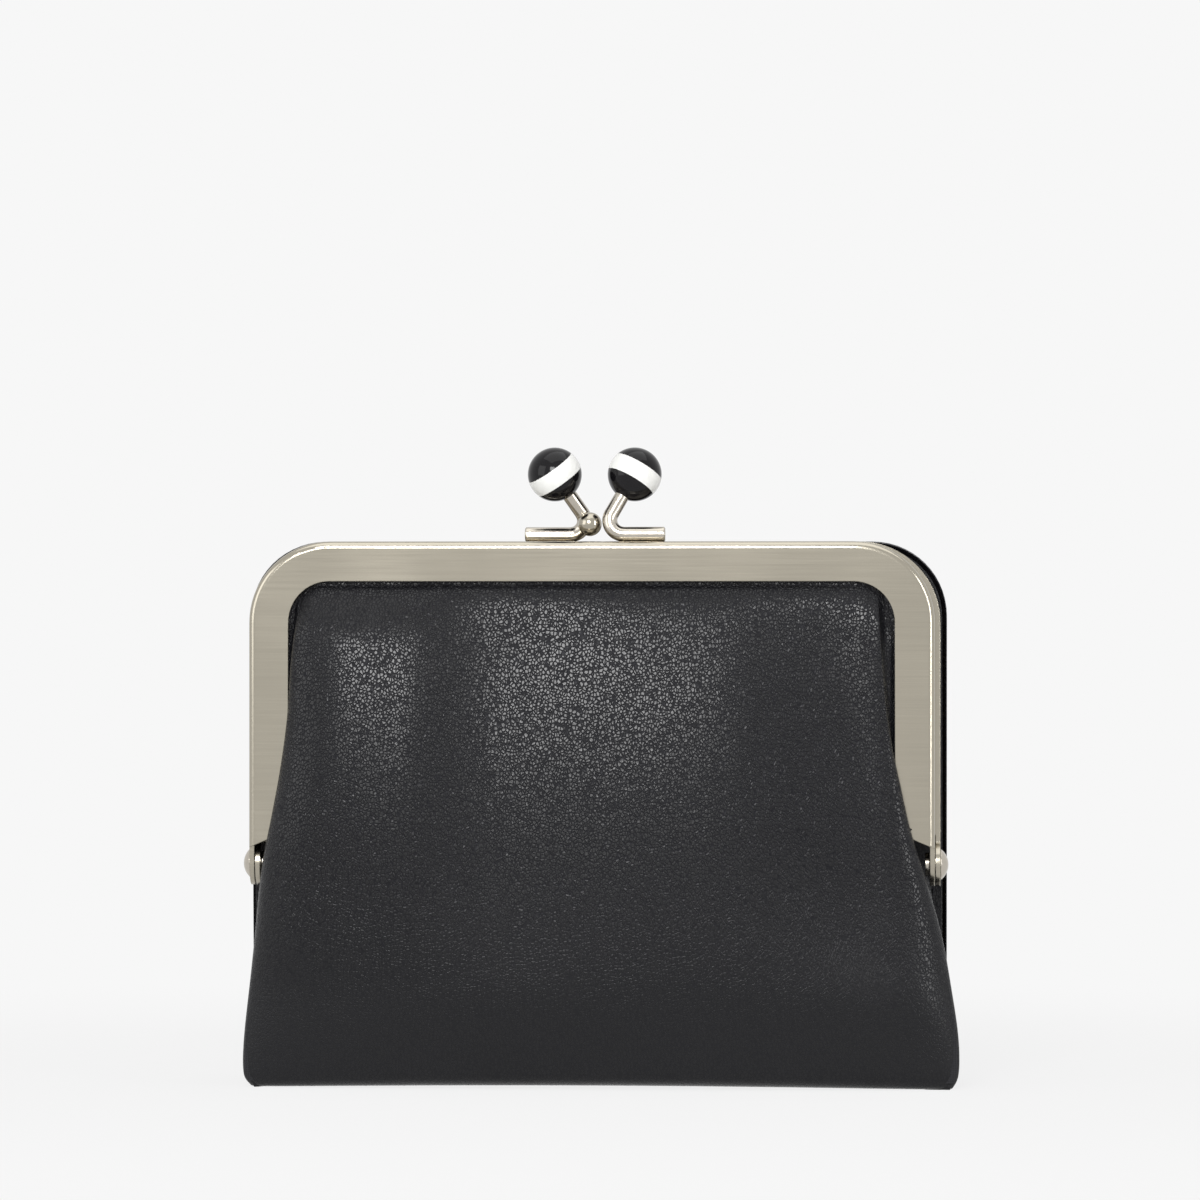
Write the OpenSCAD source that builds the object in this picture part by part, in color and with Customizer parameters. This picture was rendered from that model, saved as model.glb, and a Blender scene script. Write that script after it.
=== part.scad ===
// Kiss lock frame purse with a card leaf folded up behind it.
// X runs to the right, Y to the back and Z up. The origin is on the base,
// under the plane where the two halves of the metal frame meet.

/* [Frame] */
// Width of one frame half
frame_w = 110; // [100:1:116]
// Height of the frame's top edge above the pivots
frame_rise = 51.8; // [44:0.2:60]
// Height of the visible metal face
face_w = 6.4; // [5:0.1:8]
// Width of the hidden inner flange
lip_w = 5.2; // [4.6:0.1:6]
// Depth of one frame half
half_depth = 4.8; // [4.6:0.1:6]
// Thickness of the frame's sheet metal
sheet = 0.8; // [0.6:0.05:1]
// Outer radius of the frame's corners
corner_r = 13; // [10:0.5:18]
// Rounding of the frame's outer edge
edge_round = 1.1; // [0.8:0.1:1.4]
// Gap between the two halves when shut
parting = 0.1; // [0.06:0.02:0.3]

/* [Pivots] */
// Height of the pivots above the base
pivot_z = 35.7; // [34:0.1:40]
// Radius of the ears that the rivets hold
ear_r = 3.5; // [2.8:0.1:3.6]
// Diameter of the rivet shanks
rivet_d = 2; // [1.6:0.1:2.4]
// Running clearance round a shank
rivet_clearance = 0.05; // [0.03:0.01:0.09]
// Diameter of the domed rivet heads
head_d = 5; // [4:0.1:6]
// Height of the domed rivet heads
head_h = 1.25; // [0.8:0.05:1.6]
// Diameter of the flattened rivet tails
tail_d = 3.8; // [3:0.1:4.4]
// Thickness of the flattened rivet tails
tail_h = 0.7; // [0.5:0.05:0.9]
// Angle to which the side gussets let the frame open
open_angle = 60; // [30:5:60]

/* [Clasp] */
// Diameter of the clasp rods
rod_d = 2.4; // [2:0.1:2.6]
// Centreline radius of the bend in a clasp rod
bend_r = 2.3; // [2:0.1:2.6]
// Distance from the middle to the outer end of a rod's foot
foot_reach = 11.4; // [9:0.1:14]
// Outward lean of the left rod's upper end
left_lean = 34; // [26:1:38]
// Outward lean of the right rod's upper end
right_lean = 29; // [26:1:38]
// Distance of the left rod's bend from the middle
left_bend_x = 1.8; // [1.6:0.05:2.2]
// Distance of the right rod's bend from the middle
right_bend_x = 2.48; // [2.4:0.02:2.8]
// Tilt that brings both balls over the parting plane
rod_tilt = 14; // [10:1:16]
// Diameter of the balls
ball_d = 8.7; // [7:0.1:9]
// Height of the balls' centres above the frame
ball_rise = 10.8; // [9.5:0.1:13]
// Width of the white band through each ball
band_w = 2.75; // [2:0.05:3.4]
// Diameter of the catch bead
bead_d = 3.85; // [3.4:0.05:4]
// Clearance between the catch bead and the right rod
bead_gap = 0.15; // [0.1:0.01:0.3]

/* [Pouch] */
// Width of the pouch at its base
base_w = 114.8; // [112:0.2:118]
// Width that the pouch would have at the height of the pivots
pivot_w = 106; // [105:0.2:107]
// Thickness of the outer leather
leather = 1; // [0.8:0.05:1.1]
// Thickness of the lining
lining = 0.35; // [0.25:0.05:0.4]
// Gap between leather and lining
lining_gap = 0.05; // [0.03:0.01:0.08]
// Distance from the parting plane to the front's fullest point
bulge = 13; // [12:0.1:14]
// Height of the front's fullest point
bulge_z = 28; // [24:0.5:30]
// Distance from the parting plane to the front at the base
base_front = 9; // [8:0.1:11]
// Distance from the parting plane to the rear at the base
base_rear = 9.7; // [9.4:0.1:11]
// Distance from the parting plane to the side edges of the front leather
edge_y = 4.5; // [4.2:0.1:5]
// Distance from the parting plane to the side edges of the rear leather
rear_edge_y = 6.5; // [6.2:0.1:6.8]
// Depth of the turned hem at the side edges
hem = 1.2; // [0.8:0.1:1.4]
// Depth to which the side gussets fold inwards
gusset_fold = 6; // [4:0.2:7]
// Diameter of the paper cord that wedges the leather in the frame
paper_d = 1.44; // [1.1:0.02:1.5]

/* [Back leaf] */
// Width of the back leaf
leaf_w = 113.2; // [110:0.2:117]
// Height of the leaf above its fold
leaf_h = 84.6; // [70:0.2:92]
// Thickness of the whole leaf
leaf_t = 6; // [5.6:0.1:7]
// Radius of the leaf's top corners
leaf_corner_r = 14.4; // [8:0.2:20]
// Lean of the leaf towards the frame
leaf_lean = 3.2; // [2:0.1:3.2]
// Gap between the pouch and the leaf at the fold
leaf_gap = 0.3; // [0.25:0.05:0.6]
// Thickness of the leaf's stiffening board
board_t = 0.7; // [0.4:0.05:0.8]
// Thickness of a card pocket and of the leaf's lining
pocket_t = 0.65; // [0.5:0.05:0.65]
// Gap between the layers of the leaf
layer_gap = 0.1; // [0.06:0.01:0.12]
// Height of the lowest card pocket above the fold
pocket_h = 38; // [30:0.5:44]
// Step from one card pocket's edge to the next
pocket_step = 12; // [8:0.5:13]

/* [Hidden] */
$fn = 64;

nickel = "silver";
bright_nickel = "gainsboro";
leather_black = "#2a2a2e";
lining_black = "#1c1c1f";
paper = "tan";
FRONT = -1;
REAR = 1;

// Frame
top_z = pivot_z + frame_rise;
corner_x = frame_w / 2 - corner_r;
corner_z = top_z - corner_r;
// The halves are the same stamping, moved apart sideways by one sheet and a gap
side_shift = (sheet + parting) / 2;
// The face of each leg ends in a slanted cut
leg_inner_z = pivot_z + 5.3;
leg_outer_z = pivot_z + 2.7;
// The inner flange ends above the ear of the other half
ear_room = 1.2;
lip_end_z = pivot_z + ear_r + ear_room;
ear_neck = min(ear_r, half_depth - edge_round);
// Outer and inner ears, measured from the middle
outer_ear_x = frame_w / 2 + side_shift;
inner_ear_x = frame_w / 2 - side_shift - sheet;
rivet_end_gap = 0.05;

// Clasp
foot_y = half_depth / 2;
foot_flat = 0.05;
foot_z = top_z + rod_d / 2 - foot_flat;
foot_chamfer = 0.2;
// A bend is a trace thicker than the straight parts, which reach a little into it
bend_swell = 0.04;
rod_joint = 0.15;
ball_z = (top_z + ball_rise - foot_z) / cos(rod_tilt);
bead_x = right_bend_x - rod_d / 2 - bead_gap - bead_d / 2;
bead_seat = 0.5;
bore_clearance = 0.05;

// Groove inside a frame half, from its face inwards: leather, lining, paper cord
groove_y = half_depth - sheet - lining_gap;
groove_room = 0.8;
skin_end_r = corner_r - sheet - groove_room;
mouth_gap = 0.4;
mouth_half = frame_w / 2 - face_w - mouth_gap;
mouth_r = corner_r - face_w - mouth_gap;
mouth_z = corner_z + mouth_r;
skin_top_z = corner_z + skin_end_r - 0.1;
lining_out = leather + lining_gap;
lining_in = lining_out + lining;
paper_y = groove_y - lining_in - lining_gap - paper_d / 2;
paper_r = skin_end_r - 0.5;

// Pouch
flare = (base_w - pivot_w) / 2 / pivot_z;
narrow_h = 7;
turn_in_h = 2;
hem_slope = 0.5;
split_gap = 0.6;
// Room that the swinging front needs inside the lower pouch, in the middle and at the edges
split_room = 2;
edge_room = 2.2;
bulge_cut_r = (bulge + split_room) / cos(open_angle / 2);
edge_cut_r = (edge_y + edge_room) / cos(open_angle / 2);
cut_start_z = pivot_z - edge_cut_r;
cut_half = base_w / 2 - flare * cut_start_z - lining_in;
cut_power = 8;
front_power = 3;
front_swell = 0.7;
rear_power = 10;
rear_swell = 0.6;
rear_flatness = 14;
gusset_gap = 0.3;
gusset_power = 1.3;
gusset_room = 0.7;
hem_end = 0.2;
base_gap = 0.25;

// Back leaf
axis_y = base_rear + leaf_gap + leaf_t / 2;
axis_z = leaf_t / 2;
leaf_inner = -leaf_t / 2;
pockets = 3;
cover_t = leather + 0.1;
cover_y = leaf_t / 2 - cover_t;
board_y = cover_y - layer_gap - board_t;
lining_y = leaf_inner + pockets * (pocket_t + layer_gap);
rim_w = 1.6;
board_inset = rim_w + 0.3;
pocket_inset = 0.8;
rim_y = lining_y + pocket_t + layer_gap / 2;
spine_t = 0.95;
spine_gap = 0.15;
bead_end_r = leaf_t / 2 - spine_t - spine_gap;

function mix(a, b, t) = a + (b - a) * t;
function smooth(t) = let (c = min(max(t, 0), 1)) c * c * (3 - 2 * c);
function dome(t, power) = pow(max(1 - pow(min(abs(t), 1), power), 0), 0.5);

// Shape of the leather at height z

// Half of the pouch's width, which narrows to the frame's mouth
function pouch_half(z) = base_w / 2 - flare * z;
function mouth_width(z) = z < corner_z ? mouth_half
    : mouth_half - mouth_r + sqrt(max(pow(mouth_r, 2) - pow(z - corner_z, 2), 0));
function skin_half(z) =
    mix(pouch_half(z), mouth_width(z), smooth((z - leg_inner_z + narrow_h) / narrow_h));
// Share of the skin's edge that lies in the frame's groove. The edge comes level
// with the groove below the leg's end, and spreads into it above.
function in_groove(z) = smooth((z - leg_inner_z) / turn_in_h);
function level_with_groove(z) = in_groove(z + turn_in_h);
function groove_half(z) = z < corner_z ? corner_x + skin_end_r
    : corner_x + sqrt(max(pow(skin_end_r, 2) - pow(z - corner_z, 2), 0));

function front_depth(z) = z > bulge_z
    ? mix(groove_y, bulge, pow(1 - pow(min((z - bulge_z) / (mouth_z - bulge_z), 1), 2), front_swell))
    : mix(bulge, base_front, pow((bulge_z - z) / bulge_z, 2));
function rear_depth(z) = let (plane = base_rear - z * tan(leaf_lean))
    mix(groove_y, plane, pow(1 - pow(min(z / mouth_z, 1), rear_flatness), rear_swell));
function skin_depth(side, z) = side == FRONT ? front_depth(z) : rear_depth(z);
function skin_power(side) = side == FRONT ? front_power : rear_power;

// A point of the skin: column runs from -1 to 1 over the bulge, and to 2 past it,
// into the frame's groove above the legs and along the turned hem below them.
// inset moves the point inwards by the thickness above it.
function skin_point(side, column, z, inset) =
    let (half = skin_half(z) - inset,
        held = in_groove(z),
        edge = mix(side == FRONT ? edge_y : rear_edge_y, groove_y - inset, level_with_groove(z)),
        depth = max(skin_depth(side, z) - inset, edge),
        turn = 90 * min(abs(column), 1),
        past = max(abs(column) - 1, 0),
        x = half * pow(sin(turn), 2 / skin_power(side))
            + past * mix(-hem_slope, groove_half(z) - half, held),
        y = mix(edge, depth, cos(turn)) - past * hem * (1 - held))
    [(column < 0 ? -1 : 1) * x, side * y, z];

// Radius about the pivots at which the swinging front ends and the pouch below it
// begins. It depends on x alone, so the two never meet while the frame opens.
function cut_radius(x) =
    mix(bulge_cut_r, edge_cut_r, pow(min(abs(x) / cut_half, 1), cut_power));
function cut_z(column, inset, shift, gap, z = cut_start_z, steps = 6) = steps == 0 ? z
    : let (p = skin_point(FRONT, column, z, inset), r = cut_radius(p[0] + shift) + gap)
    cut_z(column, inset, shift, gap, pivot_z - sqrt(max(r * r - p[1] * p[1], 0)), steps - 1);

fold_steps = 8;
columns = [for (k = [2, 1.5]) -k, for (k = [-fold_steps:fold_steps]) k / fold_steps,
    for (k = [1.5, 2]) k];

// Heights of the rows of a skin, from its lower edge to its top in the groove
low_steps = 5;
mouth_steps = 8;
function rows_above(low) = [
    for (k = [0:low_steps]) mix(low, leg_inner_z, k / low_steps),
    leg_inner_z + turn_in_h / 2, leg_inner_z + turn_in_h,
    for (k = [1:mouth_steps]) mix(leg_inner_z + turn_in_h, mouth_z, sin(90 * k / mouth_steps)),
    mix(mouth_z, skin_top_z, 0.5), skin_top_z];

function front_grid(inset) =
    let (rows = [for (c = columns) rows_above(cut_z(c, inset, -side_shift, 0))])
    [for (r = [0:len(rows[0]) - 1])
        [for (c = [0:len(columns) - 1]) skin_point(FRONT, columns[c], rows[c][r], inset)]];
function rear_grid(inset, low) =
    [for (z = rows_above(low)) [for (c = columns) skin_point(REAR, -c, z, inset)]];

// Back edge of the pouch's base, just inside the rear panel
function base_back(x, inset) =
    let (half = skin_half(0) - leather - inset, depth = base_rear - leather - inset)
    mix(rear_edge_y, depth, dome(x / half, rear_power)) - base_gap;

wall_steps = 5;
base_steps = 3;
// The base runs forward from its back edge, with its sides turned up, and then up the front
function bottom_grid(inset) = [
    for (r = [0:base_steps]) [for (c = columns)
        let (front = skin_point(FRONT, c, 0, inset),
            turned = hem * max(abs(c) - 1, 0),
            back = base_back(front[0], inset) - turned)
        [front[0], mix(back, front[1], r / base_steps), inset + turned]],
    for (r = [1:wall_steps]) [for (c = columns)
        skin_point(FRONT, c, mix(inset, cut_z(c, inset, 0, split_gap), r / wall_steps), inset)]];

// Closed sheet between two grids of points, outer one first
module sheet_between(outer, inner) {
    rows = len(outer);
    cols = len(outer[0]);
    back = rows * cols;
    function at(r, c) = r * cols + c;
    function quad(a, b, c, d) = [[a, b, c], [a, c, d]];
    points = [for (row = outer) each row, for (row = inner) each row];
    faces = [
        for (r = [0:rows - 2], c = [0:cols - 2])
            each quad(at(r, c), at(r + 1, c), at(r + 1, c + 1), at(r, c + 1)),
        for (r = [0:rows - 2], c = [0:cols - 2])
            each quad(back + at(r, c), back + at(r, c + 1), back + at(r + 1, c + 1),
                back + at(r + 1, c)),
        for (c = [0:cols - 2])
            each quad(at(0, c), at(0, c + 1), back + at(0, c + 1), back + at(0, c)),
        for (c = [0:cols - 2])
            each quad(at(rows - 1, c + 1), at(rows - 1, c), back + at(rows - 1, c),
                back + at(rows - 1, c + 1)),
        for (r = [0:rows - 2])
            each quad(at(r + 1, 0), at(r, 0), back + at(r, 0), back + at(r + 1, 0)),
        for (r = [0:rows - 2])
            each quad(at(r, cols - 1), at(r + 1, cols - 1), back + at(r + 1, cols - 1),
                back + at(r, cols - 1))];
    polyhedron(points = points, faces = faces, convexity = 6);
}

// Section of the frame's channel: x is the distance from the corner's centre,
// y the depth from the parting plane
module channel_section() {
    difference() {
        union() {
            translate([corner_r - face_w, half_depth - sheet]) square([face_w, sheet]);
            translate([corner_r - sheet, parting / 2]) square([sheet, half_depth - parting / 2]);
            translate([corner_r - lip_w, parting / 2]) square([lip_w, sheet]);
        }
        translate([corner_r - edge_round, half_depth - edge_round]) difference() {
            square(edge_round + 1);
            circle(r = edge_round);
        }
    }
}

// Lower end of a leg: full sheet behind the rounded edge, then a round ear
module ear_outline() {
    difference() {
        union() {
            translate([0, pivot_z]) circle(r = ear_r);
            polygon([[-ear_neck, leg_outer_z + 3], [-parting / 2, leg_outer_z + 3],
                [-parting / 2, pivot_z], [-ear_r, pivot_z], [-ear_neck, leg_outer_z]]);
        }
        translate([0, pivot_z]) circle(d = rivet_d + 2 * rivet_clearance);
    }
}

module leg() {
    difference() {
        translate([corner_x, 0, corner_z]) rotate([180, 0, 0])
            linear_extrude(corner_z - leg_outer_z) channel_section();
        // Slanted end of the face
        rotate([90, 0, 0]) linear_extrude(2 * half_depth + 2)
            polygon([[frame_w / 2 - face_w - 1, leg_inner_z + 0.4],
                [frame_w / 2 - face_w, leg_inner_z], [frame_w / 2, leg_outer_z],
                [frame_w / 2, leg_outer_z - 1], [frame_w / 2 - face_w - 1, leg_outer_z - 1]]);
        // The inner flange stops above the ear of the other half
        translate([frame_w / 2 - sheet - lip_w, -parting / 2 - sheet - 0.01, leg_outer_z - 1])
            cube([lip_w, sheet + 0.02, lip_end_z - leg_outer_z + 1]);
    }
    translate([frame_w / 2 - sheet, 0, 0]) rotate([90, 0, 90]) linear_extrude(sheet) ear_outline();
}

// Front half of the frame, centred on X; the rear half is the same piece turned round
module half_frame() {
    color(nickel) {
        translate([-corner_x, 0, corner_z]) rotate([0, -90, 0]) rotate([180, 0, 0])
            linear_extrude(2 * corner_x) channel_section();
        for (side = [0, 1]) mirror([side, 0, 0]) {
            translate([corner_x, 0, corner_z]) rotate([90, 0, 0])
                rotate_extrude(angle = 90) channel_section();
            leg();
        }
    }
}

module half_paper_cord() {
    color(paper) {
        translate([-corner_x, -paper_y, corner_z + paper_r]) rotate([0, 90, 0])
            cylinder(h = 2 * corner_x, d = paper_d);
        for (side = [0, 1]) mirror([side, 0, 0]) {
            translate([corner_x, -paper_y, corner_z]) rotate([90, 0, 0])
                rotate_extrude(angle = 90) translate([paper_r, 0]) circle(d = paper_d);
            translate([corner_x + paper_r, -paper_y, leg_inner_z + 1])
                cylinder(h = corner_z - leg_inner_z - 1, d = paper_d);
        }
    }
}

module as_front_half() translate([-side_shift, 0, 0]) children();
module as_rear_half() rotate([0, 0, 180]) as_front_half() children();

module front_frame() as_front_half() half_frame();
module rear_frame() as_rear_half() half_frame();
module front_paper_cord() as_front_half() half_paper_cord();
module rear_paper_cord() as_rear_half() half_paper_cord();

// Left clasp rod in its own plane: foot along -X, bend, then a straight up to the ball
function bend_end(bend_x, lean) =
    [bend_x - bend_r + bend_r * cos(lean), bend_r + bend_r * sin(lean)];
function upper_length(bend_x, lean) = (ball_z - bend_end(bend_x, lean)[1]) / cos(lean);

module clasp_rod(bend_x, lean) {
    foot_l = foot_reach + bend_x - bend_r;
    color(bright_nickel) difference() {
        union() {
            translate([-foot_reach, 0, 0]) rotate([0, 90, 0]) {
                cylinder(h = foot_chamfer, d1 = rod_d - 2 * foot_chamfer, d2 = rod_d);
                translate([0, 0, foot_chamfer])
                    cylinder(h = foot_l - foot_chamfer + rod_joint, d = rod_d);
            }
            translate([bend_x - bend_r, 0, bend_r]) rotate([90, 0, 0]) rotate([0, 0, -90])
                rotate_extrude(angle = 90 + lean) translate([bend_r, 0])
                circle(d = rod_d + bend_swell);
            translate([bend_end(bend_x, lean)[0], 0, bend_end(bend_x, lean)[1]])
                rotate([0, -lean, 0]) translate([0, 0, -rod_joint])
                cylinder(h = upper_length(bend_x, lean) - band_w / 2 - bore_clearance + rod_joint,
                    d = rod_d);
        }
        // Flat where the foot is soldered to the frame
        rotate([-rod_tilt, 0, 0])
            translate([-foot_reach - 1, -rod_d, -rod_d - rod_d / 2 + foot_flat])
            cube([foot_reach + 2, 2 * rod_d, rod_d]);
    }
}

module at_ball(bend_x, lean)
    translate([bend_end(bend_x, lean)[0], 0, bend_end(bend_x, lean)[1]]) rotate([0, -lean, 0])
    translate([0, 0, upper_length(bend_x, lean)]) children();

// Two black caps with the band's room between them; the rod enters the lower one
module ball_caps() {
    color("#101012") difference() {
        sphere(d = ball_d);
        cube([ball_d + 1, ball_d + 1, band_w], center = true);
        translate([0, 0, -ball_d]) cylinder(h = ball_d, d = rod_d + 2 * bore_clearance);
    }
}

module ball_band() {
    color("white") intersection() {
        sphere(d = ball_d);
        cube([ball_d + 1, ball_d + 1, band_w], center = true);
    }
}

module on_rear_top() translate([0, foot_y, foot_z]) rotate([rod_tilt, 0, 0]) children();
module on_front_top() rotate([0, 0, 180]) on_rear_top() children();

module left_clasp_rod() on_rear_top() clasp_rod(-left_bend_x, left_lean);
module left_ball() on_rear_top() at_ball(-left_bend_x, left_lean) ball_caps();
module left_ball_band() on_rear_top() at_ball(-left_bend_x, left_lean) ball_band();
module right_clasp_rod() on_front_top() clasp_rod(-right_bend_x, right_lean);
module right_ball() on_front_top() at_ball(-right_bend_x, right_lean) ball_caps();
module right_ball_band() on_front_top() at_ball(-right_bend_x, right_lean) ball_band();

// The bead sits on the left rod's bend, in front of it, and stops the right rod
module catch_bead() {
    reach = bead_d / 2 + rod_d / 2 - bead_seat;
    aside = bead_x + left_bend_x;
    color(nickel) on_rear_top() difference() {
        translate([bead_x, -sqrt(reach * reach - aside * aside), bend_r]) sphere(d = bead_d);
        translate([-left_bend_x, 0, bend_r - bead_d]) cylinder(h = 2 * bead_d, d = rod_d + 0.04);
    }
}

// Rivet on the right: domed head outside the outer ear, flattened tail inside
module rivet() {
    dome_r = (pow(head_d / 2, 2) + pow(head_h, 2)) / (2 * head_h);
    head_x = outer_ear_x + rivet_end_gap;
    tail_x = inner_ear_x - rivet_end_gap;
    color(bright_nickel) translate([0, 0, pivot_z]) rotate([0, 90, 0]) {
        translate([0, 0, head_x]) intersection() {
            translate([0, 0, head_h - dome_r]) sphere(r = dome_r);
            cylinder(h = head_h + 1, d = head_d + 1);
        }
        translate([0, 0, tail_x]) cylinder(h = head_x - tail_x, d = rivet_d);
        translate([0, 0, tail_x - tail_h]) cylinder(h = tail_h, d = tail_d);
    }
}

module right_rivet() rivet();
module left_rivet() mirror([1, 0, 0]) rivet();

// Pouch
module front_panel()
    color(leather_black) as_front_half() sheet_between(front_grid(0), front_grid(leather));
module front_lining()
    color(lining_black) as_front_half() sheet_between(front_grid(lining_out), front_grid(lining_in));
module rear_panel()
    color(leather_black) translate([side_shift, 0, 0])
    sheet_between(rear_grid(0, 0), rear_grid(leather, 0));
module rear_lining()
    color(lining_black) translate([side_shift, 0, 0])
    sheet_between(rear_grid(lining_out, lining_in), rear_grid(lining_in, lining_in));
module pouch_bottom()
    color(leather_black) sheet_between(bottom_grid(0), bottom_grid(leather));
module pouch_lining()
    color(lining_black) sheet_between(bottom_grid(lining_out), bottom_grid(lining_in));

// Side gusset, folded inwards between the hems of the front and the rear
gusset_steps = 4;
function gusset_grid(out) = let (low = lining_in + hem_end, high = pivot_z - ear_r - gusset_room)
    [for (z = [low, high]) [for (k = [-gusset_steps:gusset_steps])
        let (u = k / gusset_steps,
            half = pouch_half(z) - lining_in - hem_slope - gusset_gap - out)
        [half - gusset_fold * (1 - pow(abs(u), gusset_power)),
            mix(hem_end - edge_y, rear_edge_y - hem_end, (u + 1) / 2), z]]];

module right_gusset()
    color(lining_black) sheet_between(gusset_grid(0), gusset_grid(lining * 2));
module left_gusset() mirror([1, 0, 0]) right_gusset();

// Back leaf, drawn upright round its fold's axis
module on_leaf() translate([0, axis_y, axis_z]) rotate([leaf_lean, 0, 0]) children();

module leaf_outline(inset) {
    half = leaf_w / 2 - inset;
    corner = leaf_corner_r - inset;
    high = leaf_h - inset;
    translate([-half, inset]) square([2 * half, high - corner - inset]);
    translate([-half + corner, inset]) square([2 * (half - corner), high - inset]);
    for (side = [-1, 1]) translate([side * (half - corner), high - corner]) circle(r = corner);
}

// Slice of the leaf from y to y + thick, kept below height
module leaf_layer(y, thick, inset, height)
    on_leaf() translate([0, y + thick, 0]) rotate([90, 0, 0]) linear_extrude(thick)
    intersection() {
        leaf_outline(inset);
        translate([-leaf_w / 2, 0]) square([leaf_w, height]);
    }

// Cover with its turned edge at the sides and a round bead along the fold
module leaf_cover() {
    color(leather_black) {
        leaf_layer(cover_y, cover_t, 0, leaf_h);
        on_leaf() {
            for (side = [-1, 1]) translate([side * (leaf_w - rim_w) / 2 - rim_w / 2, rim_y, 0])
                cube([rim_w, cover_y - rim_y, leaf_h - leaf_corner_r]);
            translate([-leaf_w / 2, rim_y, 0]) cube([leaf_w, cover_y - rim_y, rim_w]);
            intersection() {
                translate([-leaf_w / 2, 0, 0]) rotate([0, 90, 0]) cylinder(h = leaf_w, r = bead_end_r);
                translate([-leaf_w / 2, -leaf_t, -leaf_t]) cube([leaf_w, 2 * leaf_t, leaf_t + 0.01]);
            }
        }
    }
}

module leaf_board()
    color(paper) leaf_layer(board_y, board_t, board_inset, leaf_h);
module leaf_lining()
    color(lining_black) leaf_layer(lining_y, pocket_t, pocket_inset, leaf_h);
module card_pocket(number)
    color(leather_black) leaf_layer(leaf_inner + (pockets - number) * (pocket_t + layer_gap), pocket_t,
        pocket_inset, pocket_h + (pockets - number) * pocket_step);
module card_pocket_1() card_pocket(1);
module card_pocket_2() card_pocket(2);
module card_pocket_3() card_pocket(3);

// Leather that runs from under the pouch round the leaf's lower end
module spine_fold() {
    start_y = base_rear + 0.1;
    color(leather_black) translate([-leaf_w / 2, 0, 0]) rotate([90, 0, 90]) {
        linear_extrude(leaf_w) translate([start_y, 0.05]) square([axis_y - start_y, spine_t - 0.05]);
        linear_extrude(leaf_w) translate([axis_y, axis_z]) difference() {
            intersection() {
                circle(r = axis_z);
                translate([0, -axis_z]) square(axis_z);
            }
            circle(r = axis_z - spine_t);
        }
    }
}

front_frame();
front_paper_cord();
front_panel();
front_lining();
right_clasp_rod();
right_ball();
right_ball_band();
rear_frame();
rear_paper_cord();
rear_panel();
rear_lining();
left_clasp_rod();
left_ball();
left_ball_band();
catch_bead();
left_rivet();
right_rivet();
pouch_bottom();
pouch_lining();
left_gusset();
right_gusset();
spine_fold();
leaf_cover();
leaf_board();
leaf_lining();
card_pocket_1();
card_pocket_2();
card_pocket_3();
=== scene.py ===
# %% [markdown]
# A kiss lock purse is soft leather hung in a hard frame. The metal pieces come
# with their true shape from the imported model, so they only need a finish. The
# leather is what Blender makes here: a bulging front that folds over the legs of
# the frame, a flatter back, side gussets and a leaf of card pockets behind.

import math

import bpy
from mathutils import Matrix, Vector


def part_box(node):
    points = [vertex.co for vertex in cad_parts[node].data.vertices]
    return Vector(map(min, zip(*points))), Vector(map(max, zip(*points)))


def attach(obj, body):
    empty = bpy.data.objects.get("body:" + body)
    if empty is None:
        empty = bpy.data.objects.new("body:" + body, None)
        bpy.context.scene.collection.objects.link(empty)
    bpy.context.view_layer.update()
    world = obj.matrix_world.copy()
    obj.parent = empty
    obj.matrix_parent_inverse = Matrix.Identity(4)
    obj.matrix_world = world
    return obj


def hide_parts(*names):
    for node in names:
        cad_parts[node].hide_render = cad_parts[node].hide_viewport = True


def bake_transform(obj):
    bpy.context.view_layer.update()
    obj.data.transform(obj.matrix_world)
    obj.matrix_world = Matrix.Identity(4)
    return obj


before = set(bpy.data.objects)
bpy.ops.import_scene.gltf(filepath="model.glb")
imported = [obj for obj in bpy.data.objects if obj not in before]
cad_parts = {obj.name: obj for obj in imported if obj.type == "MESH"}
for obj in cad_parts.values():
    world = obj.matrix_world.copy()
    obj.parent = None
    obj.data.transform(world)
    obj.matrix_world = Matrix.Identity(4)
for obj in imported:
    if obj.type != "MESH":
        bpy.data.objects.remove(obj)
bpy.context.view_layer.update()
MM = 0.001

# %% [markdown]
# Every size below is in millimetres and starts from the frame. box_mm gives the
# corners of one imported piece, and a few thicknesses that can't be seen from
# outside are named beside it.


# %% Sizes read from the frame
def box_mm(node):
    low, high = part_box(node)
    return Vector(low) / MM, Vector(high) / MM


FRAME_LOW, FRAME_HIGH = box_mm("front_frame")
LEAF_LOW, LEAF_HIGH = box_mm("leaf_cover")
RIVET_LOW, RIVET_HIGH = box_mm("right_rivet")
PIVOT_Z = (RIVET_LOW.z + RIVET_HIGH.z) / 2
FACE_Y = -FRAME_LOW.y
FACE_W = 6.4
SHEET = 0.8
LEATHER = 1.0
CORNER_R = 13.0
LEG_END_Z = PIVOT_Z + 5.3
CORNER_Z = FRAME_HIGH.z - CORNER_R
GROOVE_Y = FACE_Y - SHEET - 0.08
MOUTH_R = CORNER_R - FACE_W - 0.35
MOUTH_TOP = CORNER_Z + MOUTH_R
GROOVE_R = CORNER_R - SHEET - 0.9
print("frame", [round(v, 2) for v in (*FRAME_LOW, *FRAME_HIGH)], "pivot", round(PIVOT_Z, 2))

# %% [markdown]
# Operators work on whatever is selected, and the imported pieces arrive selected.
# So each step starts by deselecting everything, and one helper finishes a piece:
# it applies the modifiers, shades it smooth and keeps the object at the origin.


# %% Small helpers for modelling
EDGE_SEGMENTS = 3
SHARP_ANGLE = math.radians(40)
SMOOTH_ANGLE = math.radians(50)


def start_fresh():
    if bpy.context.mode != "OBJECT":
        bpy.ops.object.mode_set(mode="OBJECT")
    bpy.ops.object.select_all(action="DESELECT")


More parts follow.
